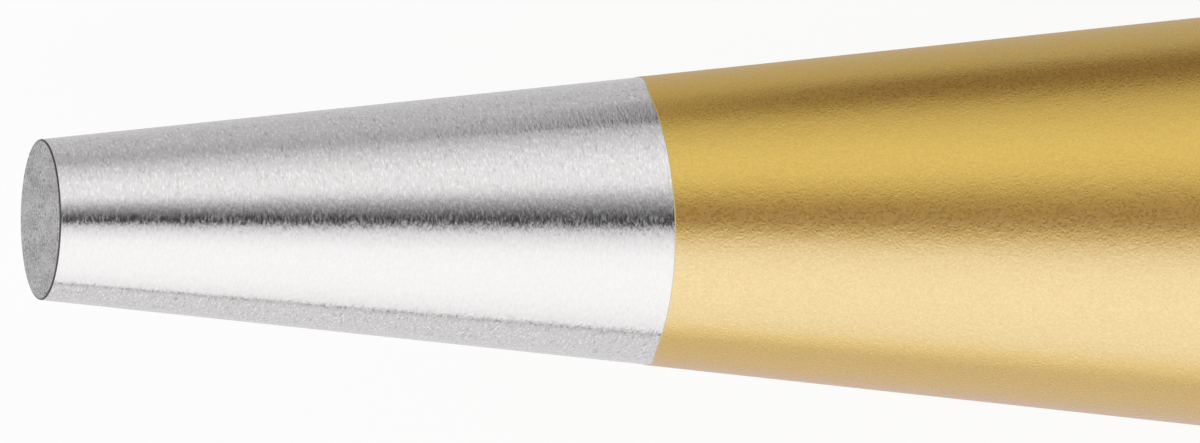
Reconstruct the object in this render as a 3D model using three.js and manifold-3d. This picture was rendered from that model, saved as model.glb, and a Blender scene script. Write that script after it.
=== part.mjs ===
// A hand taper punch: an octagonal steel bar drawn down to a ground conical tip, with a bevelled head
// to strike and a lacquer coat that stops short of both ground ends.
// Sizes are in millimetres. The tool lies along X on one flat of its shank, tip towards -X, +Z up.

import * as THREE from "three";
import { mergeVertices } from "three/addons/utils/BufferGeometryUtils.js";
import Module from "manifold-3d";

const { degToRad } = THREE.MathUtils;

// The bar that the tool is made from
const OVERALL_LENGTH = 120;
const SHANK_ACROSS_FLATS = 10;
const SHANK_SIDES = 8;
const SHANK_CORNER_RADIUS = 0.6;

// The working end
const TIP_DIAMETER = 3;
const TIP_EDGE_BREAK = 0.05;
const TAPER_INCLUDED_ANGLE = degToRad(12);
const BARE_TIP_LENGTH = 11.55;

// The struck end
const STRUCK_FACE_DIAMETER = 6.4;
const HEAD_RIM_RADIUS = 0.8;
const HEAD_BEVEL_ANGLE = degToRad(15);

// The lacquer coat, drawn just clear of the steel that it sticks to
const LACQUER_THICKNESS = 0.03;
const LACQUER_CLEARANCE = 0.01;

// How finely the round surfaces are faceted
const TURNED_SEGMENTS = 128;
const CORNER_SEGMENTS = 3;
const RIM_SEGMENTS = 5;

// How far a body that only cuts another runs past it, and the spare bar at each end before turning
const OVERRUN = 2;
const BAR_ALLOWANCE = 5;

// Values that follow from the sizes above
const TAPER_HALF_ANGLE = TAPER_INCLUDED_ANGLE / 2;
const HALF_SECTOR = Math.PI / SHANK_SIDES;
const LACQUER_OUTSIDE = LACQUER_CLEARANCE + LACQUER_THICKNESS;
const REST_HEIGHT = SHANK_ACROSS_FLATS / 2 + LACQUER_OUTSIDE;
const TURNED_REACH = REST_HEIGHT / Math.cos(HALF_SECTOR) + OVERRUN;

const groundSteel = new THREE.MeshStandardMaterial({ color: 0xbdbcba, roughness: 0.25, metalness: 1 });
const goldLacquer = new THREE.MeshStandardMaterial({ color: 0xd4ab60, roughness: 0.35, metalness: 0.8 });

const wasm = await Module();
wasm.setup();

/** Makes a solid, which can be joined and cut, of a closed geometry. */
function solidOf(geometry) {
  geometry.deleteAttribute("normal");
  geometry.deleteAttribute("uv");
  const welded = mergeVertices(geometry);
  const corners = welded.index.array;
  const triangles = [];
  for (let start = 0; start < corners.length; start += 3) {
    const [a, b, c] = corners.slice(start, start + 3);
    // On the axis of a turned form some triangles have shrunk to a line
    const flat = a === b || b === c || c === a;
    if (!flat) triangles.push(a, b, c);
  }
  const vertProperties = new Float32Array(welded.attributes.position.array);
  const triVerts = new Uint32Array(triangles);
  return new wasm.Manifold(new wasm.Mesh({ numProp: 3, vertProperties, triVerts }));
}

/** Makes a geometry of a solid. */
function geometryOf(solid) {
  const mesh = solid.getMesh();
  const geometry = new THREE.BufferGeometry();
  geometry.setAttribute("position", new THREE.BufferAttribute(mesh.vertProperties, 3));
  geometry.setIndex(new THREE.BufferAttribute(mesh.triVerts, 1));
  geometry.computeVertexNormals();
  return geometry;
}

/** The octagonal bar along Z with rounded corners, its surface moved out by growth. */
function octagonBar(growth) {
  const apothem = SHANK_ACROSS_FLATS / 2 + growth;
  const cornerRadius = SHANK_CORNER_RADIUS + growth;
  const cornerDistance = (apothem - cornerRadius) / Math.cos(HALF_SECTOR);
  const outline = new THREE.Shape();
  for (let side = 0; side < SHANK_SIDES; side += 1) {
    const corner = (2 * side + 1) * HALF_SECTOR;
    const x = cornerDistance * Math.cos(corner);
    const y = cornerDistance * Math.sin(corner);
    outline.absarc(x, y, cornerRadius, corner - HALF_SECTOR, corner + HALF_SECTOR, false);
  }
  const bar = new THREE.ExtrudeGeometry(outline, {
    depth: OVERALL_LENGTH + 2 * BAR_ALLOWANCE,
    bevelEnabled: false,
    curveSegments: CORNER_SEGMENTS,
  });
  bar.translate(0, 0, -BAR_ALLOWANCE);
  return solidOf(bar);
}

/** A form turned about Z from its profile, a list of [radius, station] that starts and ends on the axis. */
function turned(profile) {
  const points = profile.map(([radius, station]) => new THREE.Vector2(radius, station));
  const lathe = new THREE.LatheGeometry(points, TURNED_SEGMENTS);
  lathe.rotateX(Math.PI / 2);
  return solidOf(lathe);
}

/** The radius of the taper at a station from the tip, its surface moved out by growth. */
function taperRadius(station, growth) {
  return TIP_DIAMETER / 2 + station * Math.tan(TAPER_HALF_ANGLE) + growth / Math.cos(TAPER_HALF_ANGLE);
}

/** The end of the taper, at a radius that is clear of the bar's corners. */
function taperEnd(growth) {
  const station = (TURNED_REACH - taperRadius(0, growth)) / Math.tan(TAPER_HALF_ANGLE);
  return [TURNED_REACH, station];
}

/** The head's profile from outside the bar to the axis: the bevel, the rounded rim and the struck face. */
function headProfile() {
  const faceRadius = STRUCK_FACE_DIAMETER / 2;
  const rimStation = OVERALL_LENGTH - HEAD_RIM_RADIUS;
  const rim = [];
  for (let step = 0; step <= RIM_SEGMENTS; step += 1) {
    const angle = THREE.MathUtils.lerp(HEAD_BEVEL_ANGLE, Math.PI / 2, step / RIM_SEGMENTS);
    const radius = faceRadius + HEAD_RIM_RADIUS * Math.cos(angle);
    rim.push([radius, rimStation + HEAD_RIM_RADIUS * Math.sin(angle)]);
  }
  const [bevelRadius, bevelStation] = rim[0];
  const bevelLength = (TURNED_REACH - bevelRadius) / Math.tan(HEAD_BEVEL_ANGLE);
  return [[TURNED_REACH, bevelStation - bevelLength], ...rim, [0, OVERALL_LENGTH]];
}

/** The steel: the turned tip, taper and head cut the octagonal bar, which leaves scallops on its flats. */
function steelBlank() {
  const ends = turned([
    [0, 0],
    [TIP_DIAMETER / 2 - TIP_EDGE_BREAK, 0],
    [taperRadius(TIP_EDGE_BREAK, 0), TIP_EDGE_BREAK],
    taperEnd(0),
    ...headProfile(),
  ]);
  return ends.intersect(octagonBar(0));
}

/** The lacquer: a thin skin on the taper and the shank, open at the bare tip and at the ground head. */
function lacquerCoat() {
  const seam = BARE_TIP_LENGTH;
  const skin = turned([
    [0, seam],
    [taperRadius(seam, LACQUER_OUTSIDE), seam],
    taperEnd(LACQUER_OUTSIDE),
    ...headProfile(),
  ]).intersect(octagonBar(LACQUER_OUTSIDE));

  const coreStart = seam - OVERRUN;
  const coreEnd = OVERALL_LENGTH + OVERRUN;
  const core = turned([
    [0, coreStart],
    [taperRadius(coreStart, LACQUER_CLEARANCE), coreStart],
    taperEnd(LACQUER_CLEARANCE),
    [TURNED_REACH, coreEnd],
    [0, coreEnd],
  ]).intersect(octagonBar(LACQUER_CLEARANCE));

  return skin.subtract(core);
}

/** A named piece of the tool. */
function piece(name, solid, material) {
  const mesh = new THREE.Mesh(geometryOf(solid), material);
  mesh.name = name;
  return mesh;
}

// The pieces are made along Z from the tip, and the whole tool is then laid along X
const punch = new THREE.Group();
punch.add(piece("steel_blank", steelBlank(), groundSteel));
punch.add(piece("lacquer_coat", lacquerCoat(), goldLacquer));
punch.rotation.y = Math.PI / 2;
punch.position.set(-OVERALL_LENGTH / 2, 0, REST_HEIGHT);

export default punch;
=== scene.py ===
"""Looks for a hand taper punch: a ground steel blank with a bare conical tip under a gold lacquer coat.

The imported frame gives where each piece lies. Lengths are in metres. A station is a distance along the tool
from its tip, and an angle runs round the tool from straight up towards +Y.
"""

import math
from typing import NamedTuple

import bpy
import numpy as np
from mathutils import Matrix, Vector


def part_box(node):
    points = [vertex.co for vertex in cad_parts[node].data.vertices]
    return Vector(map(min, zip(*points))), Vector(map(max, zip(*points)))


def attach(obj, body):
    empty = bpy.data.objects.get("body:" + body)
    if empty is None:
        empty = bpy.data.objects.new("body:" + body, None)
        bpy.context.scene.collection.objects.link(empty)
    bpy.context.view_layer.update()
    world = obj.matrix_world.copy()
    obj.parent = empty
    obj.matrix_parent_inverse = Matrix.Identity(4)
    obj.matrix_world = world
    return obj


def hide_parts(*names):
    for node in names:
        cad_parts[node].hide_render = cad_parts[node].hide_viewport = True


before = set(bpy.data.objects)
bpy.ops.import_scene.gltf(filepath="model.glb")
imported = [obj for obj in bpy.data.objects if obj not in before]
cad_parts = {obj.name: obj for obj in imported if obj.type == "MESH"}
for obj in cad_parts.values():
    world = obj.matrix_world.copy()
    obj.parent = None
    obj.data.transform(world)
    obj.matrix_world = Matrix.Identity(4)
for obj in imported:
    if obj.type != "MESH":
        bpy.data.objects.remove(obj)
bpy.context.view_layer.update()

bl_info = {
    "name": "Taper punch",
    "version": (1, 0, 0),
    "blender": (4, 5, 0),
    "location": "3D View > Sidebar > Punch",
    "description": "Builds a ground steel taper punch with a gold lacquer coat on a pale studio floor",
    "category": "Add Mesh",
}

BODY = "root"
LACQUER_PIECE = "lacquer_coat_gold"

# What the frame says about the tool's place
STEEL_LOW, STEEL_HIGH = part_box("steel_blank")
COAT_LOW, COAT_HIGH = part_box("lacquer_coat")
TIP_X = STEEL_LOW.x
TOOL_LENGTH = STEEL_HIGH.x - STEEL_LOW.x
SEAM_STATION = COAT_LOW.x - STEEL_LOW.x
SHANK_APOTHEM = (COAT_HIGH.z - COAT_LOW.z) / 2
AXIS_Z = (COAT_HIGH.z + COAT_LOW.z) / 2

SHANK_SIDES = 8
HALF_SECTOR = math.pi / SHANK_SIDES
MM = 0.001

# The photograph's frame, in pixels
IMAGE_WIDTH = 1200
IMAGE_HEIGHT = 443


class PunchSizes(bpy.types.PropertyGroup):
    """Sizes of the tool that the frame's boxes don't give."""

    tip_diameter: bpy.props.FloatProperty(
        name="Tip diameter",
        description="Diameter of the flat tip face",
        default=3.0 * MM,
        unit="LENGTH",
    )
    tip_edge: bpy.props.FloatProperty(
        name="Tip edge",
        description="Radius of the broken edge round the tip face",
        default=0.03 * MM,
        unit="LENGTH",
    )
    tip_half_angle: bpy.props.FloatProperty(
        name="Tip half angle",
        description="Slope of the bare ground cone against the axis",
        default=math.radians(5.967),
        unit="ROTATION",
    )
    taper_half_angle: bpy.props.FloatProperty(
        name="Taper half angle",
        description="Slope of the lacquered taper against the axis",
        default=math.radians(6.085),
        unit="ROTATION",
    )
    seam_lean: bpy.props.FloatProperty(
        name="Seam lean",
        description="How far the lacquer's front edge runs back for each unit across the tool",
        default=-0.033,
    )
    seam_bow: bpy.props.FloatProperty(
        name="Seam bow",
        description="How far the lacquer's front edge runs back at the two sides, as a share of its radius",
        default=0.085,
    )
    film_step: bpy.props.FloatProperty(
        name="Film step",
        description="How far the lacquer stands above the bare steel at its front edge",
        default=0.008 * MM,
        unit="LENGTH",
    )
    film_line: bpy.props.FloatProperty(
        name="Film line",
        description="Width of the clear line along the lacquer's front edge",
        default=0.01 * MM,
        unit="LENGTH",
    )
    film_thickness: bpy.props.FloatProperty(
        name="Film thickness",
        description="Thickness of the lacquer",
        default=0.03 * MM,
        unit="LENGTH",
    )
    shank_corner: bpy.props.FloatProperty(
        name="Shank corner",
        description="Radius of the octagon's corners, over the lacquer",
        default=0.64 * MM,
        unit="LENGTH",
    )
    run_out: bpy.props.FloatProperty(
        name="Run-out",
        description="Half the length over which the taper eases into a flat",
        default=1.2 * MM,
        unit="LENGTH",
    )
    struck_face_diameter: bpy.props.FloatProperty(
        name="Struck face diameter",
        description="Diameter of the flat on the head",
        default=6.4 * MM,
        unit="LENGTH",
    )
    head_rim_radius: bpy.props.FloatProperty(
        name="Head rim radius",
        description="Radius between the struck face and the head's bevel",
        default=0.8 * MM,
        unit="LENGTH",
    )
    head_bevel_angle: bpy.props.FloatProperty(
        name="Head bevel angle",
        description="Slope of the head's bevel against the axis",
        default=math.radians(15),
        unit="ROTATION",
    )


class PunchFinish(bpy.types.PropertyGroup):
    """Colours and grain of the tool's surfaces."""

    steel_colour: bpy.props.FloatVectorProperty(
        name="Steel colour",
        description="Reflection colour of the ground cone and the head",
        default=(0.754, 0.732, 0.736),
        subtype="COLOR",
    )
    steel_roughness: bpy.props.FloatProperty(
        name="Steel roughness",
        description="Mean roughness of the ground cone",
        default=0.16,
    )
    face_colour: bpy.props.FloatVectorProperty(
        name="Face colour",
        description="Reflection colour of the flat ground tip face",
        default=(0.535, 0.522, 0.525),
        subtype="COLOR",
    )
    # The edge colour is painted shade: a near-black line round the tip face.
    edge_colour: bpy.props.FloatVectorProperty(
        name="Edge colour",
        description="Reflection colour of the broken edge round the tip face",
        default=(0.1, 0.1, 0.1),
        subtype="COLOR",
    )
    lacquer_colour: bpy.props.FloatVectorProperty(
        name="Lacquer colour",
        description="Reflection colour of the gold lacquer",
        default=(0.885, 0.69, 0.178),
        subtype="COLOR",
    )
    pigment_colour: bpy.props.FloatVectorProperty(
        name="Pigment colour",
        description="Colour of the brown pigment between the lacquer's flakes",
        default=(0.6, 0.135, 0.005),
        subtype="COLOR",
    )
    pigment_share: bpy.props.FloatProperty(
        name="Pigment share",
        description="Share of the lacquer's gold that is pigment and not flake",
        default=0.3,
    )
    film_edge_colour: bpy.props.FloatVectorProperty(
        name="Film edge colour",
        description="Reflection colour of the lacquer's thin front edge",
        default=(0.71, 0.59, 0.23),
        subtype="COLOR",
    )
    lacquer_roughness: bpy.props.FloatProperty(
        name="Lacquer roughness",
        description="Roughness of the metal flakes in the lacquer",
        default=0.282,
    )


class PunchStage(bpy.types.PropertyGroup):
    """Where the camera stands, and how bright the tent and the fill lamps round the tool are."""

    lens: bpy.props.FloatProperty(
        name="Lens",
        description="Focal length of the camera, in millimetres",
        default=300.0,
    )
    tilt: bpy.props.FloatProperty(
        name="Tilt",
        description="How far the tool's axis leans away from the camera towards the head",
        default=math.radians(17.339),
        unit="ROTATION",
    )
    roll: bpy.props.FloatProperty(
        name="Roll",
        description="Turn of the tool's axis in the picture",
        default=math.radians(-0.09),
        unit="ROTATION",
    )
    tip_distance: bpy.props.FloatProperty(
        name="Tip distance",
        description="Distance of the tip from the camera along its view",
        default=186.3 * MM,
        unit="LENGTH",
    )
    tip_column: bpy.props.FloatProperty(
        name="Tip column",
        description="Column of the tip face's centre in the picture, in pixels from the left",
        default=39.98,
    )
    tip_row: bpy.props.FloatProperty(
        name="Tip row",
        description="Row of the tip face's centre in the picture, in pixels from the top",
        default=219.56,
    )
    fill_angle: bpy.props.FloatProperty(
        name="Fill angle",
        description="Where the cool fill lamp stands round the tool, from straight up towards -Y",
        default=math.radians(51.75),
        unit="ROTATION",
    )
    fill_spread: bpy.props.FloatProperty(
        name="Fill spread",
        description="Half the angle that the cool fill lamp takes up, seen from the tool",
        default=math.radians(36.25),
        unit="ROTATION",
    )
    fill_distance: bpy.props.FloatProperty(
        name="Fill distance",
        description="Distance of the cool fill lamp from the tool's axis",
        default=60 * MM,
        unit="LENGTH",
    )
    fill_station: bpy.props.FloatProperty(
        name="Fill station",
        description="Where the middle of the cool fill lamp lies along the tool",
        default=58 * MM,
        unit="LENGTH",
    )
    fill_length: bpy.props.FloatProperty(
        name="Fill length",
        description="Length of the cool fill lamp along the tool",
        default=180 * MM,
        unit="LENGTH",
    )
    fill_radiance: bpy.props.FloatVectorProperty(
        name="Fill radiance",
        description="Brightness and colour of the cool fill lamp, where 1 is white",
        default=(0.05, 0.2, 1.75),
        soft_max=2.0,
    )
    low_fill_radiance: bpy.props.FloatVectorProperty(
        name="Low fill radiance",
        description="Brightness and colour of the cool lamp low in front of the tool, where 1 is white",
        default=(0.0, 0.02, 0.36),
        soft_max=2.0,
    )
    tent_level: bpy.props.FloatProperty(
        name="Tent level",
        description="Brightness of the tent as a share of the levels written for it",
        default=1.0,
    )


def operator_settings(context):
    """The three groups of settings that the operators read."""
    scene = context.scene
    return scene.punch_sizes, scene.punch_finish, scene.punch_stage


# Shapes

# How finely the surfaces are divided, round the tool and in rows along each stretch of it
ANGLE_COUNT = 512
TIP_EDGE_ROWS = 6
BARE_ROWS = 24
BEVEL_ROWS = 8
HEAD_RIM_ROWS = 8
FILM_EDGE_ROWS = 5
TAPER_ROWS = 40
RUN_OUT_ROWS = 16
SHANK_ROWS = 24
# Rings on the two flat faces, as shares of the face's radius
TIP_RINGS = (0.12, 0.3, 0.5, 0.7, 0.85, 0.95)
HEAD_RINGS = (0.96, 0.85, 0.7, 0.5, 0.3, 0.12)
# Faces that meet at more than this angle keep a sharp edge
SHARP_ANGLE = math.radians(20)
# The power of the sine that the bow of the lacquer's front edge follows
SEAM_BOW_POWER = 16


def octagon_radius(angle, apothem, corner):
    """Radius of an octagon with rounded corners at each angle.

    On a flat it is the apothem over the cosine of the angle from the flat's middle. At a corner it is where
    the ray meets the corner's circle.
    """
    off_flat = np.abs((angle + HALF_SECTOR) % (2 * HALF_SECTOR) - HALF_SECTOR)
    centre = (apothem - corner) / math.cos(HALF_SECTOR)
    flat_limit = math.atan2(centre * math.sin(HALF_SECTOR), apothem)
    off_corner = HALF_SECTOR - off_flat
    across = centre * np.sin(off_corner)
    round_part = centre * np.cos(off_corner) + np.sqrt(np.maximum(corner**2 - across**2, 0))
    return np.where(off_flat < flat_limit, apothem / np.cos(off_flat), round_part)


def eased_lower(first, second, width):
    """The lower of two heights, with a parabola where they differ by less than width."""
    near = np.maximum(width - np.abs(first - second), 0)
    return np.minimum(first, second) - near**2 / (4 * width)


def spread(start, end, count):
    """Lines from start to end, both arrays over the angle, as count rows without the last one."""
    share = np.linspace(0, 1, count, endpoint=False)[:, None]
    return start + share * (end - start)


def rows_of(*blocks, width):
    """Stacks blocks of rows, each a number, a column or a whole block, into one array of that width."""
    blocks = [np.atleast_2d(block) for block in blocks]
    return np.vstack([np.broadcast_to(block, (len(block), width)) for block in blocks])


def surface_points(station, radius, angle):
    """Points round the tool: the station along +X from the tip, and the radius turned by the angle."""
    x = TIP_X + station
    y = radius * np.sin(angle)
    z = AXIS_Z + radius * np.cos(angle)
    return np.stack([x, y, z], axis=-1)


def grid_faces(rows, columns, closed_rows):
    """Quads of a grid that is closed across its columns and, if asked, across its rows too."""
    row_count = rows if closed_rows else rows - 1
    row = np.arange(row_count)[:, None]
    column = np.arange(columns)[None, :]
    next_row = (row + 1) % rows
    next_column = (column + 1) % columns
    corners = [row * columns + column, next_row * columns + column,
               next_row * columns + next_column, row * columns + next_column]
    return np.stack([np.broadcast_to(c, (row_count, columns)) for c in corners], axis=-1).reshape(-1, 4)


def pole_faces(pole, first, columns, outward):
    """Triangles from a pole to the ring whose first vertex is given, wound to face outward along X."""
    column = np.arange(columns)
    here = first + column
    after = first + (column + 1) % columns
    ends = (after, here) if outward > 0 else (here, after)
    return np.stack([np.full(columns, pole), *ends], axis=-1)


def mesh_object(name, points, faces, zones, materials):
    """A smooth mesh object at the origin, from points, faces and a material number for each face."""
    mesh = bpy.data.meshes.new(name)
    mesh.from_pydata(points.tolist(), [], faces)
    mesh.polygons.foreach_set("material_index", zones)
    for material in materials:
        mesh.materials.append(material)
    mesh.shade_smooth()
    mesh.set_sharp_from_angle(angle=SHARP_ANGLE)
    mesh.validate()
    piece = bpy.data.objects.new(name, mesh)
    bpy.context.scene.collection.objects.link(piece)
    return piece


def tool_angles():
    """Angles round the tool, with a step on every flat's middle and every corner."""
    return np.arange(ANGLE_COUNT) * (2 * math.pi / ANGLE_COUNT)


def seam_stations(sizes, angle, radius):
    """Station of the lacquer's front edge at each angle: a ring that leans, and bows back at its sides.

    The lean follows the sine of the angle, and the bow a high power of it.
    """
    across = np.sin(angle)
    return SEAM_STATION + radius * (sizes.seam_lean * across + sizes.seam_bow * across**SEAM_BOW_POWER)


def seam_radius(sizes):
    """Radius of the bare cone at the lacquer's front edge."""
    return sizes.tip_diameter / 2 + SEAM_STATION * math.tan(sizes.tip_half_angle)


def bevel_station(sizes, radius):
    """Station at which the head's bevel has that radius."""
    angle = sizes.head_bevel_angle
    rim_radius = sizes.struck_face_diameter / 2 + sizes.head_rim_radius * math.cos(angle)
    rim_station = TOOL_LENGTH - sizes.head_rim_radius * (1 - math.sin(angle))
    return rim_station - (radius - rim_radius) / math.tan(angle)


def tip_face_rows(sizes):
    """The flat tip face and its edge: rings out to a quarter round of the edge's radius."""
    edge = sizes.tip_edge
    face_radius = sizes.tip_diameter / 2 - edge
    ring = np.array(TIP_RINGS) * face_radius
    turn = np.linspace(0, math.pi / 2 - sizes.tip_half_angle, TIP_EDGE_ROWS)
    station = np.concatenate([np.zeros_like(ring), edge * (1 - np.cos(turn))])
    radius = np.concatenate([ring, face_radius + edge * np.sin(turn)])
    return station[:, None], radius[:, None]


def head_rows(sizes):
    """The head's rounded rim and struck face, from the bevel's end in towards the axis."""
    face_radius = sizes.struck_face_diameter / 2
    rim = sizes.head_rim_radius
    turn = np.linspace(sizes.head_bevel_angle, math.pi / 2, HEAD_RIM_ROWS)
    ring = np.array(HEAD_RINGS) * face_radius
    rim_centre = TOOL_LENGTH - rim
    station = np.concatenate([rim_centre + rim * np.sin(turn), np.full_like(ring, TOOL_LENGTH)])
    radius = np.concatenate([face_radius + rim * np.cos(turn), ring])
    return station[:, None], radius[:, None]


def steel_surface(sizes):
    """The steel blank: radius as a function of station and angle.

    The tip face and the bare cone are turned. Under the lacquer the surface is the lower of the taper and
    the octagon, set in by the film. Behind it the head's bevel, rim and struck face are turned again.
    """
    angle = tool_angles()
    face_station, face_radius = tip_face_rows(sizes)
    rim_station, rim_radius = head_rows(sizes)
    seam = seam_stations(sizes, angle, seam_radius(sizes))
    bare_start = face_station[-1]
    bare_radius = face_radius[-1]
    bare = spread(bare_start, seam, BARE_ROWS)[1:]
    bare = np.vstack([bare, seam])
    bare_slope = math.tan(sizes.tip_half_angle)
    cone_radius = bare_radius + (bare - bare_start) * bare_slope

    inset = sizes.film_thickness
    octagon = octagon_radius(angle, SHANK_APOTHEM - inset, sizes.shank_corner - inset)
    under_radius = cone_radius[-1] - inset
    taper_end = seam + (octagon - under_radius) / math.tan(sizes.taper_half_angle)
    bevel_start = bevel_station(sizes, octagon)
    bevel = spread(bevel_start, rim_station[0], BEVEL_ROWS)
    bevel_share = (bevel - bevel_start) / (rim_station[0] - bevel_start)
    bevel_radius = octagon + bevel_share * (rim_radius[0] - octagon)

    stations = (face_station, bare, seam, taper_end, bevel, rim_station)
    radii = (face_radius, cone_radius, under_radius, octagon, bevel_radius, rim_radius)
    station = rows_of(*stations, width=ANGLE_COUNT)
    radius = rows_of(*radii, width=ANGLE_COUNT)
    rows_before_cone = len(face_station)
    rows_before_rim = len(station) - len(rim_station)
    return surface_points(station, radius, angle), rows_before_cone, rows_before_rim


def coat_surface(sizes):
    """The lacquer coat: a closed skin on the lower of the taper and the octagon, eased between the two.

    Its outside runs from the front edge to the head's bevel, and its inside runs back one film below.
    """
    angle = tool_angles()
    step = sizes.film_step
    front_radius = seam_radius(sizes)
    slope = math.tan(sizes.taper_half_angle)
    seam = seam_stations(sizes, angle, front_radius)
    front_steel = front_radius + (seam - SEAM_STATION) * math.tan(sizes.tip_half_angle)
    octagon = octagon_radius(angle, SHANK_APOTHEM, sizes.shank_corner)
    edge_turn = np.linspace(0, math.pi / 2, FILM_EDGE_ROWS)[:, None]
    edge_station = seam + step * (1 - np.cos(edge_turn))
    edge_radius = front_steel + step * np.sin(edge_turn)

    taper_start = edge_station[-1]
    outer_radius = edge_radius[-1]
    line_end = taper_start + sizes.film_line
    crossing = taper_start + (octagon - outer_radius) / slope
    rear = bevel_station(sizes, octagon)
    reach = sizes.run_out
    outside = np.vstack([
        spread(line_end, crossing - reach, TAPER_ROWS),
        spread(crossing - reach, crossing + reach, RUN_OUT_ROWS),
        spread(crossing + reach, rear, SHANK_ROWS),
        rear,
    ])
    taper = outer_radius + (outside - taper_start) * slope
    outside_radius = eased_lower(taper, np.broadcast_to(octagon, taper.shape), reach * slope)

    film = sizes.film_thickness
    rear_inside = rear + film / math.tan(sizes.head_bevel_angle)
    inside = np.vstack([rear_inside, crossing, seam])
    inside_radius = np.vstack([octagon - film, octagon - film, front_steel + step - film])
    station = np.vstack([edge_station, outside, inside])
    radius = np.vstack([edge_radius, outside_radius, inside_radius])
    return surface_points(station, radius, angle)


# Finishes


class Grain(NamedTuple):
    """A noise: the sizes of its cells along X, Y and Z, and the count and strength of its finer layers."""

    cell: tuple
    detail: float = 2.0
    fineness: float = 0.5


class Spots(NamedTuple):
    """Spots in a surface: their shade of its colour, and the noise levels where they start and are full."""

    shade: float
    start: float
    full: float


# The range that most of a noise lies in
NOISE_MIDDLE = (0.3, 0.7)

# The ground cone and the head. A gloss is given as two shares of the mean roughness.
CONE_MARKS = Grain((0.07 * MM, 0.35 * MM, 0.35 * MM), detail=3.0, fineness=0.65)
CONE_SPECKLE = Grain((0.05 * MM, 0.14 * MM, 0.14 * MM))
CONE_GLINTS = Grain((0.035 * MM, 0.09 * MM, 0.09 * MM), detail=1.0)
CONE_PITS = Grain((0.045 * MM, 0.11 * MM, 0.11 * MM), detail=1.0)
CONE_TINT = 0.01
# The cone's light spots are painted glints and its dark spots are partly painted shade. Both fade on the
# front by the angle mask below.
CONE_LIGHT_SPOTS = Spots(shade=1.33, start=0.52, full=0.74)
CONE_DARK_SPOTS = Spots(shade=0.7, start=0.54, full=0.76)
CONE_GLOSS = (0.4, 1.6)
CONE_PIT_LEVELS = (0.5, 0.8)
CONE_MARK_DEPTH = 0.007 * MM
CONE_SPECKLE_DEPTH = 0.002 * MM
CONE_PIT_DEPTH = 0.001 * MM

# The flat faces at the tip and the head
FACE_ROUGHNESS = 0.4
FACE_MOTTLE = Grain((0.25 * MM, 0.4 * MM, 1.0 * MM), detail=5.0, fineness=0.8)
FACE_SPECKLE = Grain((0.05 * MM, 0.05 * MM, 0.08 * MM), detail=1.0)
FACE_PITS = Grain((0.07 * MM, 0.07 * MM, 0.1 * MM), detail=1.0)
FACE_TINT = 0.38
FACE_DARK_SPOTS = Spots(shade=0.35, start=0.58, full=0.75)
FACE_LIGHT_SPOTS = Spots(shade=1.7, start=0.54, full=0.76)
FACE_MOTTLE_DEPTH = 0.02 * MM
FACE_SPECKLE_DEPTH = 0.006 * MM

# The two thin edges. The tip face's edge is painted dark, as shade.
PAINTED_SHADE_EDGE_ROUGHNESS = 0.45
FILM_EDGE_ROUGHNESS = 0.5

# The lacquer: its flakes, its clear top and its pigment
GOLD_FLAKE = Grain((0.045 * MM, 0.045 * MM, 0.045 * MM), detail=1.0)
GOLD_CLOUD = Grain((0.3 * MM, 0.3 * MM, 0.3 * MM))
GOLD_GLINTS = Grain((0.055 * MM, 0.045 * MM, 0.045 * MM), detail=1.0)
GOLD_SPECKS = Grain((0.07 * MM, 0.06 * MM, 0.06 * MM), detail=1.0)
GOLD_TINT = 0.04
GOLD_LIGHT_SPOTS = Spots(shade=1.08, start=0.54, full=0.76)
GOLD_DARK_SPOTS = Spots(shade=0.95, start=0.56, full=0.8)
GOLD_GLOSS = (0.87, 1.19)
GOLD_FLAKE_DEPTH = 0.0045 * MM
GOLD_CLOUD_DEPTH = 0.005 * MM
CLEAR_TOP_WEIGHT = 0.15
CLEAR_TOP_ROUGHNESS = 0.3
CLEAR_TOP_IOR = 1.5
PIGMENT_ROUGHNESS = 0.9


def add_node(tree, kind, **values):
    """Adds a node and sets its properties and, by socket name, its inputs."""
    node = tree.nodes.new(kind)
    for name, value in values.items():
        if name in node.inputs:
            node.inputs[name].default_value = value
        else:
            setattr(node, name, value)
    return node


def new_metal(name, colour, roughness):
    """A metal material: its node tree and its shader, with the constant values set on the shader."""
    material = bpy.data.materials.new(name)
    material.use_nodes = True
    tree = material.node_tree
    shader = tree.nodes["Principled BSDF"]
    shader.inputs["Base Color"].default_value = (*colour, 1)
    shader.inputs["Metallic"].default_value = 1.0
    shader.inputs["Roughness"].default_value = roughness
    return material, tree, shader


def grain(tree, kind):
    """Noise of a kind of grain on the tool's own coordinates."""
    place = add_node(tree, "ShaderNodeTexCoord")
    mapping = add_node(tree, "ShaderNodeMapping", vector_type="POINT")
    mapping.inputs["Scale"].default_value = [1 / size for size in kind.cell]
    noise = add_node(tree, "ShaderNodeTexNoise", Scale=1.0, Detail=kind.detail, Roughness=kind.fineness)
    tree.links.new(place.outputs["Object"], mapping.inputs["Vector"])
    tree.links.new(mapping.outputs["Vector"], noise.inputs["Vector"])
    return noise.outputs["Fac"]


def ranged(tree, value, low, high, middle=NOISE_MIDDLE):
    """Maps a range of a noise onto low to high."""
    node = add_node(tree, "ShaderNodeMapRange")
    node.inputs["From Min"].default_value = middle[0]
    node.inputs["From Max"].default_value = middle[1]
    node.inputs["To Min"].default_value = low
    node.inputs["To Max"].default_value = high
    tree.links.new(value, node.inputs["Value"])
    return node.outputs["Result"]


def banded(tree, value, bands):
    """A ramp whose stops are pairs of a value and a level, and the strength that undoes its scale."""
    start = bands[0][0]
    reach = bands[-1][0] - start
    brightest = max(level for _, level in bands)
    share = add_node(tree, "ShaderNodeMapRange")
    share.inputs["From Min"].default_value = start
    share.inputs["From Max"].default_value = start + reach
    ramp = add_node(tree, "ShaderNodeValToRGB")
    stops = ramp.color_ramp.elements
    for number, (at, level) in enumerate(bands):
        position = (at - start) / reach
        stop = stops[number] if number < len(stops) else stops.new(position)
        stop.position = position
        stop.color = (*[level / brightest] * 3, 1)
    tree.links.new(value, share.inputs["Value"])
    tree.links.new(share.outputs["Result"], ramp.inputs["Fac"])
    return ramp.outputs["Color"], brightest


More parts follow.
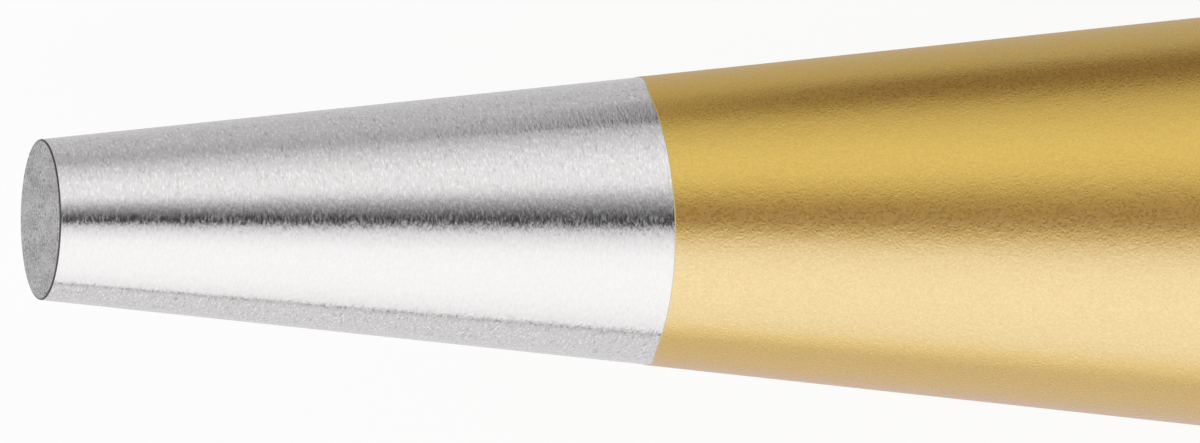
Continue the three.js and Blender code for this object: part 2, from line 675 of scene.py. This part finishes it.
def tinted(tree, value, colour, share):
    """A colour that a noise makes darker and lighter by up to that share."""
    mix = add_node(tree, "ShaderNodeMix", data_type="RGBA")
    first, second = [socket for socket in mix.inputs if socket.type == "RGBA"]
    first.default_value = [*(channel * (1 - share) for channel in colour), 1]
    second.default_value = [*(channel * (1 + share) for channel in colour), 1]
    tree.links.new(ranged(tree, value, 0, 1), mix.inputs["Factor"])
    return next(socket for socket in mix.outputs if socket.type == "RGBA")


def shaded(colour, share):
    """A colour made lighter or darker by a share, and never past white."""
    return [min(channel * share, 1) for channel in colour]


def spotted(tree, tone, noise, colour, spots, strength=None):
    """A tone that turns to a shade of a colour in spots, where a noise is high."""
    mix = add_node(tree, "ShaderNodeMix", data_type="RGBA")
    first, second = [socket for socket in mix.inputs if socket.type == "RGBA"]
    second.default_value = (*shaded(colour, spots.shade), 1)
    tree.links.new(tone, first)
    amount = ranged(tree, noise, 0, 1, (spots.start, spots.full))
    if strength is not None:
        weaker = add_node(tree, "ShaderNodeMath", operation="MULTIPLY")
        tree.links.new(amount, weaker.inputs[0])
        tree.links.new(strength, weaker.inputs[1])
        amount = weaker.outputs["Value"]
    tree.links.new(amount, mix.inputs["Factor"])
    return next(socket for socket in mix.outputs if socket.type == "RGBA")


def bumped(tree, shader, heights):
    """Chains bumps, each a height and its depth in metres, into the shader's normal."""
    normal = None
    for height, depth in heights:
        bump = add_node(tree, "ShaderNodeBump", Strength=1.0, Distance=depth)
        tree.links.new(height, bump.inputs["Height"])
        if normal is not None:
            tree.links.new(normal, bump.inputs["Normal"])
        normal = bump.outputs["Normal"]
    tree.links.new(normal, shader.inputs["Normal"])


def layered(tree, first, second, share):
    """Two shaders mixed, with the share that the second has."""
    mix = add_node(tree, "ShaderNodeMixShader", Fac=share)
    tree.links.new(first, mix.inputs[1])
    tree.links.new(second, mix.inputs[2])
    return mix.outputs["Shader"]


# How much of the ground cone's speckle shows at each angle round the tool, in degrees. The speckle is partly
# grain and partly painted glints and shade, and it fades on the front-top side, where the reflection is
# even.
PAINTED_GLINT_SHARE_BY_ANGLE = ((-180, 1.0), (-56, 1.0), (-49, 0.1), (-4, 0.12), (12, 0.5), (25, 0.75), (40, 1.0), (180, 1.0))


def painted_glint_share(tree):
    """How much of the cone's speckle and painted glints shows, by the angle about the tool's axis."""
    place = add_node(tree, "ShaderNodeTexCoord")
    lowered = add_node(tree, "ShaderNodeVectorMath", operation="SUBTRACT")
    lowered.inputs[1].default_value = (0, 0, AXIS_Z)
    split = add_node(tree, "ShaderNodeSeparateXYZ")
    turn = add_node(tree, "ShaderNodeMath", operation="ARCTAN2")
    tree.links.new(place.outputs["Object"], lowered.inputs[0])
    tree.links.new(lowered.outputs["Vector"], split.inputs["Vector"])
    tree.links.new(split.outputs["Y"], turn.inputs[0])
    tree.links.new(split.outputs["Z"], turn.inputs[1])
    left, _ = banded(tree, turn.outputs["Value"], [(math.radians(at), share) for at, share in PAINTED_GLINT_SHARE_BY_ANGLE])
    return left


def ground_cone_finish(finish):
    """Bare tool steel ground on its axis: short marks round it, fine pits, speckle that is partly painted
    glints and shade, and an uneven gloss.
    """
    colour = finish.steel_colour
    material, tree, shader = new_metal("ground_cone", colour, finish.steel_roughness)
    marks = grain(tree, CONE_MARKS)
    speckle = grain(tree, CONE_SPECKLE)
    glints = grain(tree, CONE_GLINTS)
    pits = grain(tree, CONE_PITS)
    left = painted_glint_share(tree)
    tone = tinted(tree, speckle, colour, CONE_TINT)
    tone = spotted(tree, tone, glints, colour, CONE_LIGHT_SPOTS, left)
    tone = spotted(tree, tone, speckle, colour, CONE_DARK_SPOTS, left)
    tree.links.new(tone, shader.inputs["Base Color"])
    gloss = ranged(tree, pits, *[finish.steel_roughness * share for share in CONE_GLOSS])
    tree.links.new(gloss, shader.inputs["Roughness"])
    pit_shape = ranged(tree, pits, 0, 1, CONE_PIT_LEVELS)
    heights = [(marks, CONE_MARK_DEPTH), (speckle, CONE_SPECKLE_DEPTH), (pit_shape, CONE_PIT_DEPTH)]
    bumped(tree, shader, heights)
    return material


def ground_face_finish(finish):
    """A flat face ground square to the axis: mottled, duller and darker than the cone."""
    colour = finish.face_colour
    material, tree, shader = new_metal("ground_face", colour, FACE_ROUGHNESS)
    mottle = grain(tree, FACE_MOTTLE)
    speckle = grain(tree, FACE_SPECKLE)
    pits = grain(tree, FACE_PITS)
    tone = tinted(tree, mottle, colour, FACE_TINT)
    tone = spotted(tree, tone, pits, colour, FACE_DARK_SPOTS)
    tone = spotted(tree, tone, speckle, colour, FACE_LIGHT_SPOTS)
    tree.links.new(tone, shader.inputs["Base Color"])
    bumped(tree, shader, [(mottle, FACE_MOTTLE_DEPTH), (speckle, FACE_SPECKLE_DEPTH)])
    return material


def painted_shade_edge_finish(finish):
    """The broken edge of the tip face: dull, and painted dark as shade."""
    return new_metal("painted_shade_edge", finish.edge_colour, PAINTED_SHADE_EDGE_ROUGHNESS)[0]


def gold_lacquer_finish(finish):
    """Gold metallic lacquer: fine flake and brown pigment under a thin clear top, with a satin gloss."""
    colour = finish.lacquer_colour
    material, tree, shader = new_metal("gold_lacquer", colour, finish.lacquer_roughness)
    shader.inputs["Coat Weight"].default_value = CLEAR_TOP_WEIGHT
    shader.inputs["Coat Roughness"].default_value = CLEAR_TOP_ROUGHNESS
    shader.inputs["Coat IOR"].default_value = CLEAR_TOP_IOR
    flake = grain(tree, GOLD_FLAKE)
    cloud = grain(tree, GOLD_CLOUD)
    glints = grain(tree, GOLD_GLINTS)
    specks = grain(tree, GOLD_SPECKS)
    tone = tinted(tree, flake, colour, GOLD_TINT)
    tone = spotted(tree, tone, glints, colour, GOLD_LIGHT_SPOTS)
    tone = spotted(tree, tone, specks, colour, GOLD_DARK_SPOTS)
    tree.links.new(tone, shader.inputs["Base Color"])
    gloss = ranged(tree, specks, *[finish.lacquer_roughness * share for share in GOLD_GLOSS])
    tree.links.new(gloss, shader.inputs["Roughness"])
    bumped(tree, shader, [(flake, GOLD_FLAKE_DEPTH), (cloud, GOLD_CLOUD_DEPTH)])
    pigment = add_node(tree, "ShaderNodeBsdfPrincipled", Metallic=1.0, Roughness=PIGMENT_ROUGHNESS)
    pigment.inputs["Base Color"].default_value = (*finish.pigment_colour, 1)
    gold = layered(tree, shader.outputs["BSDF"], pigment.outputs["BSDF"], finish.pigment_share)
    tree.links.new(gold, tree.nodes["Material Output"].inputs["Surface"])
    return material


def film_edge_finish(finish):
    """The thin front edge of the lacquer, where it runs out over the steel."""
    return new_metal("film_edge", finish.film_edge_colour, FILM_EDGE_ROUGHNESS)[0]


# Stage

# How bright the tent is at each angle from straight up, in degrees, negative towards -Y
TENT = (
    (-100, 1.13), (-88, 1.18), (-70, 1.23), (-45, 1.25), (-28, 1.21), (-16, 1.08), (0, 1.00), (18, 1.00),
    (34, 1.04), (50, 1.02), (58, 0.93), (66, 0.83), (76, 0.68), (86, 0.53), (100, 0.50),
)
# How deep the gap overhead is at each of those angles
GAP = (
    (-30, 0.0), (-16, 0.05), (-9, 0.24), (-5.5, 0.57), (-3, 0.94), (3, 0.93), (6, 0.84), (12, 0.67),
    (18, 0.48), (25, 0.14), (32, 0.0),
)
# Where the gap lies along the tool, by a direction's share along +X
GAP_MIDDLE = ((-0.40, 0.0), (-0.18, 1.0), (0.36, 1.0), (0.58, 0.0))
# How much of the tent's light is left towards its ends, by the same share
TENT_ENDS = ((-1.0, 0.88), (-0.4, 0.88), (-0.1, 1.0), (0.45, 1.0), (0.75, 0.85), (1.0, 0.85))


def build_world(stage):
    """A white tent: its light depends on the angle about the tool's axis, and the camera sees it white."""
    world = bpy.data.worlds.new("tent")
    bpy.context.scene.world = world
    world.use_nodes = True
    tree = world.node_tree
    tree.nodes.clear()
    place = add_node(tree, "ShaderNodeTexCoord")
    split = add_node(tree, "ShaderNodeSeparateXYZ")
    turn = add_node(tree, "ShaderNodeMath", operation="ARCTAN2")
    tent_levels = [(math.radians(at), level) for at, level in TENT]
    gap_depths = [(math.radians(at), depth) for at, depth in GAP]
    around, brightest = banded(tree, turn.outputs["Value"], tent_levels)
    gap, deepest = banded(tree, turn.outputs["Value"], gap_depths)
    middle, _ = banded(tree, split.outputs["X"], GAP_MIDDLE)
    along, _ = banded(tree, split.outputs["X"], TENT_ENDS)
    dark = add_node(tree, "ShaderNodeMath", operation="MULTIPLY")
    open_share = add_node(tree, "ShaderNodeMath", operation="MULTIPLY_ADD")
    open_share.inputs[1].default_value = -deepest
    open_share.inputs[2].default_value = 1.0
    ends = add_node(tree, "ShaderNodeMath", operation="MULTIPLY")
    level = add_node(tree, "ShaderNodeVectorMath", operation="SCALE")
    tent = add_node(tree, "ShaderNodeBackground", Strength=stage.tent_level * brightest)
    white = add_node(tree, "ShaderNodeBackground", Strength=1.0, Color=(1, 1, 1, 1))
    path = add_node(tree, "ShaderNodeLightPath")
    mix = add_node(tree, "ShaderNodeMixShader")
    output = add_node(tree, "ShaderNodeOutputWorld")
    link = tree.links.new
    link(place.outputs["Generated"], split.inputs["Vector"])
    link(split.outputs["Y"], turn.inputs[0])
    link(split.outputs["Z"], turn.inputs[1])
    link(gap, dark.inputs[0])
    link(middle, dark.inputs[1])
    link(dark.outputs["Value"], open_share.inputs[0])
    link(open_share.outputs["Value"], ends.inputs[0])
    link(along, ends.inputs[1])
    link(around, level.inputs[0])
    link(ends.outputs["Value"], level.inputs["Scale"])
    link(level.outputs["Vector"], tent.inputs["Color"])
    link(path.outputs["Is Camera Ray"], mix.inputs["Fac"])
    link(tent.outputs["Background"], mix.inputs[1])
    link(white.outputs["Background"], mix.inputs[2])
    link(mix.outputs["Shader"], output.inputs["Surface"])


# The floor's colour, the share of it that the camera sees as plain white, and half the length of its sides
FLOOR_COLOUR = (0.9, 0.9, 0.9, 1)
FLOOR_WHITE_SHARE = 0.91
FLOOR_HALF = 3.0
# How bright the metal sees the floor, by distance behind the axis. This is a painted reflection: a bright
# band far in front stands for a card, a painted dark line lies before it, and behind the axis the floor dims
# as painted shadow.
PAINTED_FLOOR_REFLECTION = (
    (-80 * MM, 1.13), (-35 * MM, 1.10), (-34 * MM, 0.25), (-28 * MM, 0.25), (-27 * MM, 0.83),
    (-12 * MM, 0.82), (-4 * MM, 0.77), (4 * MM, 0.67), (9 * MM, 0.62), (18 * MM, 0.59), (30 * MM, 0.56),
    (60 * MM, 0.52),
)


def floor_finish():
    """A pale floor: nearly white to the camera, with the tool's shadow, and to the metal a glow painted in
    bands, with a painted dark line and painted shadow behind the tool.
    """
    material = bpy.data.materials.new("pale_floor")
    material.use_nodes = True
    tree = material.node_tree
    tree.nodes.clear()
    matte = add_node(tree, "ShaderNodeBsdfDiffuse", Color=FLOOR_COLOUR)
    glow = add_node(tree, "ShaderNodeEmission", Color=(1, 1, 1, 1), Strength=1.0)
    place = add_node(tree, "ShaderNodeTexCoord")
    split = add_node(tree, "ShaderNodeSeparateXYZ")
    bands, brightest = banded(tree, split.outputs["Y"], PAINTED_FLOOR_REFLECTION)
    mirrored = add_node(tree, "ShaderNodeEmission", Strength=brightest)
    path = add_node(tree, "ShaderNodeLightPath")
    camera_share = add_node(tree, "ShaderNodeMath", operation="MULTIPLY")
    camera_share.inputs[1].default_value = FLOOR_WHITE_SHARE
    to_camera = add_node(tree, "ShaderNodeMixShader")
    to_metal = add_node(tree, "ShaderNodeMixShader")
    output = add_node(tree, "ShaderNodeOutputMaterial")
    link = tree.links.new
    link(place.outputs["Object"], split.inputs["Vector"])
    link(bands, mirrored.inputs["Color"])
    link(path.outputs["Is Camera Ray"], camera_share.inputs[0])
    link(camera_share.outputs["Value"], to_camera.inputs["Fac"])
    link(matte.outputs["BSDF"], to_camera.inputs[1])
    link(glow.outputs["Emission"], to_camera.inputs[2])
    # To the metal the floor is only this painted reflection, without its real shadow.
    link(path.outputs["Is Glossy Ray"], to_metal.inputs["Fac"])
    link(to_camera.outputs["Shader"], to_metal.inputs[1])
    link(mirrored.outputs["Emission"], to_metal.inputs[2])
    link(to_metal.outputs["Shader"], output.inputs["Surface"])
    return material


def build_floor():
    """A level square sheet under the tool, at the height of the flat that it rests on."""
    half = FLOOR_HALF
    corners = [(-half, -half, 0), (half, -half, 0), (half, half, 0), (-half, half, 0)]
    mesh = bpy.data.meshes.new("pale_floor")
    mesh.from_pydata(corners, [], [(0, 1, 2, 3)])
    mesh.materials.append(floor_finish())
    floor = bpy.data.objects.new("pale_floor", mesh)
    bpy.context.scene.collection.objects.link(floor)


# A glowing sheet that leans back behind the lacquered part and shows only in reflections, as a painted dark
# reflection: its ends along the tool, its lower and its upper edge
BACK_CARD_STATIONS = (13 * MM, 48 * MM)
BACK_CARD_FOOT = (19 * MM, 0.1 * MM)
BACK_CARD_TOP = (46 * MM, 10.5 * MM)
# How bright the card is at each station
BACK_CARD_BANDS = ((13 * MM, 0.52), (15 * MM, 0.42), (18.5 * MM, 0.18),
                   (21 * MM, 0.13), (30 * MM, 0.13), (48 * MM, 0.55))


def build_painted_reflection_card():
    """A dim glowing sheet that is seen only in the lacquer's gloss, as a painted dark reflection, and fades
    out towards the bare tip.
    """
    low_x, high_x = [TIP_X + station for station in BACK_CARD_STATIONS]
    foot = [(x, *BACK_CARD_FOOT) for x in (low_x, high_x)]
    top = [(x, *BACK_CARD_TOP) for x in (high_x, low_x)]
    mesh = bpy.data.meshes.new("back_card")
    mesh.from_pydata(foot + top, [], [(0, 1, 2, 3)])
    material = bpy.data.materials.new("painted_dark_reflection")
    material.use_nodes = True
    tree = material.node_tree
    tree.nodes.clear()
    place = add_node(tree, "ShaderNodeTexCoord")
    split = add_node(tree, "ShaderNodeSeparateXYZ")
    levels = [(TIP_X + at, level) for at, level in BACK_CARD_BANDS]
    bands, brightest = banded(tree, split.outputs["X"], levels)
    # The sheet glows dimly, as a painted dark reflection.
    glow = add_node(tree, "ShaderNodeEmission", Strength=brightest)
    output = add_node(tree, "ShaderNodeOutputMaterial")
    tree.links.new(place.outputs["Object"], split.inputs["Vector"])
    tree.links.new(bands, glow.inputs["Color"])
    tree.links.new(glow.outputs["Emission"], output.inputs["Surface"])
    mesh.materials.append(material)
    card = bpy.data.objects.new("back_card", mesh)
    bpy.context.scene.collection.objects.link(card)
    card.visible_camera = False
    card.visible_diffuse = False
    card.visible_shadow = False


def fill_lamp(name, middle, back, length, width, radiance, receivers):
    """A flat, even lamp along the tool that faces away from back and lights the receivers alone."""
    along = Vector((1, 0, 0))
    side = back.cross(along)
    brightest = max(radiance)
    data = bpy.data.lights.new(name, "AREA")
    data.shape = "RECTANGLE"
    data.size = length
    data.size_y = width
    data.color = [channel / brightest for channel in radiance]
    data.energy = brightest * math.pi * length * width
    lamp = bpy.data.objects.new(name, data)
    turned = Matrix((along, side, back)).transposed().to_4x4()
    lamp.matrix_world = Matrix.Translation(middle) @ turned
    lamp.visible_camera = False
    lamp.light_linking.receiver_collection = receivers
    bpy.context.scene.collection.objects.link(lamp)


# The low fill lamp's middle and length along the tool, which take it past both ends, its near and far edges
# in front of the axis, and its height over the floor
LOW_FILL_STATION = 60 * MM
LOW_FILL_LENGTH = 180 * MM
LOW_FILL_NEAR = 3 * MM
LOW_FILL_FAR = 120 * MM
LOW_FILL_HEIGHT = 0.3 * MM


def build_fill_lamps(stage, lit):
    """Two cool lamps in front of the tool that light the given pieces alone: one high, one on the floor."""
    receivers = bpy.data.collections.new("fill_receivers")
    for piece in lit:
        receivers.objects.link(piece)
    angle = stage.fill_angle
    distance = stage.fill_distance
    back = Vector((0, -math.sin(angle), math.cos(angle)))
    middle = Vector((TIP_X + stage.fill_station, 0, AXIS_Z)) + distance * back
    width = 2 * distance * math.tan(stage.fill_spread)
    fill_lamp("high_fill", middle, back, stage.fill_length, width, stage.fill_radiance, receivers)
    low_y = -(LOW_FILL_NEAR + LOW_FILL_FAR) / 2
    low_middle = Vector((TIP_X + LOW_FILL_STATION, low_y, LOW_FILL_HEIGHT))
    low_width = LOW_FILL_FAR - LOW_FILL_NEAR
    down = Vector((0, 0, -1))
    fill_lamp("low_fill", low_middle, down, LOW_FILL_LENGTH, low_width, stage.low_fill_radiance, receivers)


# The camera's sensor in millimetres, and the distance from which it shows things
SENSOR_WIDTH = 36.0
CLIP_START = 10 * MM


def build_camera(stage):
    """A long lens above the tool, its frame placed by the pixel that the tip face's centre falls on."""
    focal_pixels = stage.lens / SENSOR_WIDTH * IMAGE_WIDTH
    tilt = stage.tilt
    roll = stage.roll
    level = Vector((math.cos(tilt), 0, math.sin(tilt)))
    across = Vector((0, 1, 0))
    back = Vector((-math.sin(tilt), 0, math.cos(tilt)))
    right = math.cos(roll) * level - math.sin(roll) * across
    up = math.cos(roll) * across + math.sin(roll) * level
    sideways = (stage.tip_column - IMAGE_WIDTH / 2) / focal_pixels * stage.tip_distance
    upwards = (IMAGE_HEIGHT / 2 - stage.tip_row) / focal_pixels * stage.tip_distance
    tip = Vector((TIP_X, 0, AXIS_Z))
    place = tip - sideways * right - upwards * up + stage.tip_distance * back
    data = bpy.data.cameras.new("camera")
    data.sensor_width = SENSOR_WIDTH
    data.lens = stage.lens
    data.clip_start = CLIP_START
    camera = bpy.data.objects.new("camera", data)
    turned = Matrix((right, up, back)).transposed().to_4x4()
    camera.matrix_world = Matrix.Translation(place) @ turned
    bpy.context.scene.collection.objects.link(camera)
    bpy.context.scene.camera = camera


# Operators

# Numbers of the steel's finishes, in the order of its materials
CONE_ZONE, FACE_ZONE, EDGE_ZONE = range(3)


class PUNCH_OT_steel_blank(bpy.types.Operator):
    """Makes the steel blank with its ground tip, bevelled head and struck face."""

    bl_idname = "punch.steel_blank"
    bl_label = "Steel blank"

    def execute(self, context):
        """Builds the surface, gives the faces and the cones their finishes, and seats it on the frame."""
        sizes, finish, _ = operator_settings(context)
        points, first_cone, first_rim = steel_surface(sizes)
        rows, columns = points.shape[:2]
        quads = grid_faces(rows, columns, closed_rows=False)
        tip_pole = rows * columns
        head_pole = tip_pole + 1
        tip_fan = pole_faces(tip_pole, 0, columns, outward=-1)
        head_fan = pole_faces(head_pole, (rows - 1) * columns, columns, outward=1)
        poles = np.array([[TIP_X, 0, AXIS_Z], [TIP_X + TOOL_LENGTH, 0, AXIS_Z]])
        face_row = np.repeat(np.arange(rows - 1), columns)
        first_edge = first_cone - TIP_EDGE_ROWS
        first_struck = first_rim + HEAD_RIM_ROWS - 1
        flat = (face_row < first_edge) | (face_row >= first_struck)
        edge = (face_row >= first_edge) & (face_row < first_cone - 1)
        zones = np.where(flat, FACE_ZONE, np.where(edge, EDGE_ZONE, CONE_ZONE))
        fan_zones = np.full(2 * columns, FACE_ZONE)
        zones = np.concatenate([zones, fan_zones]).astype(np.int32)
        piece = mesh_object(
            "steel_blank_ground",
            np.vstack([points.reshape(-1, 3), poles]),
            quads.tolist() + tip_fan.tolist() + head_fan.tolist(),
            zones,
            [ground_cone_finish(finish), ground_face_finish(finish), painted_shade_edge_finish(finish)],
        )
        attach(piece, BODY)
        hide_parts("steel_blank")
        return {"FINISHED"}


class PUNCH_OT_lacquer_coat(bpy.types.Operator):
    """Makes the gold lacquer coat on the taper and the shank."""

    bl_idname = "punch.lacquer_coat"
    bl_label = "Lacquer coat"

    def execute(self, context):
        """Builds the closed skin, gives it its finish and seats it on the frame."""
        sizes, finish, _ = operator_settings(context)
        points = coat_surface(sizes)
        rows, columns = points.shape[:2]
        quads = grid_faces(rows, columns, closed_rows=True)
        zones = (np.repeat(np.arange(rows), columns) < FILM_EDGE_ROWS).astype(np.int32)
        piece = mesh_object(
            LACQUER_PIECE,
            points.reshape(-1, 3),
            quads.tolist(),
            zones,
            [gold_lacquer_finish(finish), film_edge_finish(finish)],
        )
        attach(piece, BODY)
        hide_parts("lacquer_coat")
        return {"FINISHED"}


class PUNCH_OT_stage(bpy.types.Operator):
    """Makes the floor, the tent, the card that paints a dark reflection, the lamps that light the tool, and
    the camera.
    """

    bl_idname = "punch.stage"
    bl_label = "Stage"

    def execute(self, context):
        """Builds the stage and sets the plain view transform."""
        _, _, stage = operator_settings(context)
        build_world(stage)
        build_floor()
        build_painted_reflection_card()
        build_fill_lamps(stage, [bpy.data.objects[LACQUER_PIECE]])
        build_camera(stage)
        context.scene.view_settings.view_transform = "Standard"
        return {"FINISHED"}


class PUNCH_PT_sidebar(bpy.types.Panel):
    """Lists the punch's operators and settings."""

    bl_idname = "PUNCH_PT_sidebar"
    bl_label = "Taper punch"
    bl_space_type = "VIEW_3D"
    bl_region_type = "UI"
    bl_category = "Punch"

    def draw(self, context):
        """Draws a button for each operator and a field for each setting."""
        layout = self.layout
        for operator in OPERATORS:
            layout.operator(operator.bl_idname)
        for group in operator_settings(context):
            box = layout.box()
            for name in group.__annotations__:
                box.prop(group, name)


OPERATORS = (PUNCH_OT_steel_blank, PUNCH_OT_lacquer_coat, PUNCH_OT_stage)
GROUPS = {"punch_sizes": PunchSizes, "punch_finish": PunchFinish, "punch_stage": PunchStage}
CLASSES = (*GROUPS.values(), *OPERATORS, PUNCH_PT_sidebar)


def register():
    """Registers the classes and hangs the settings on the scene."""
    for item in CLASSES:
        bpy.utils.register_class(item)
    for name, group in GROUPS.items():
        setattr(bpy.types.Scene, name, bpy.props.PointerProperty(type=group))


def unregister():
    """Takes the settings off the scene and unregisters the classes."""
    for name in GROUPS:
        delattr(bpy.types.Scene, name)
    for item in reversed(CLASSES):
        bpy.utils.unregister_class(item)


def main():
    """Registers the add-on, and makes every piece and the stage."""
    register()
    bpy.ops.punch.steel_blank()
    bpy.ops.punch.lacquer_coat()
    bpy.ops.punch.stage()


if __name__ == "__main__":
    main()
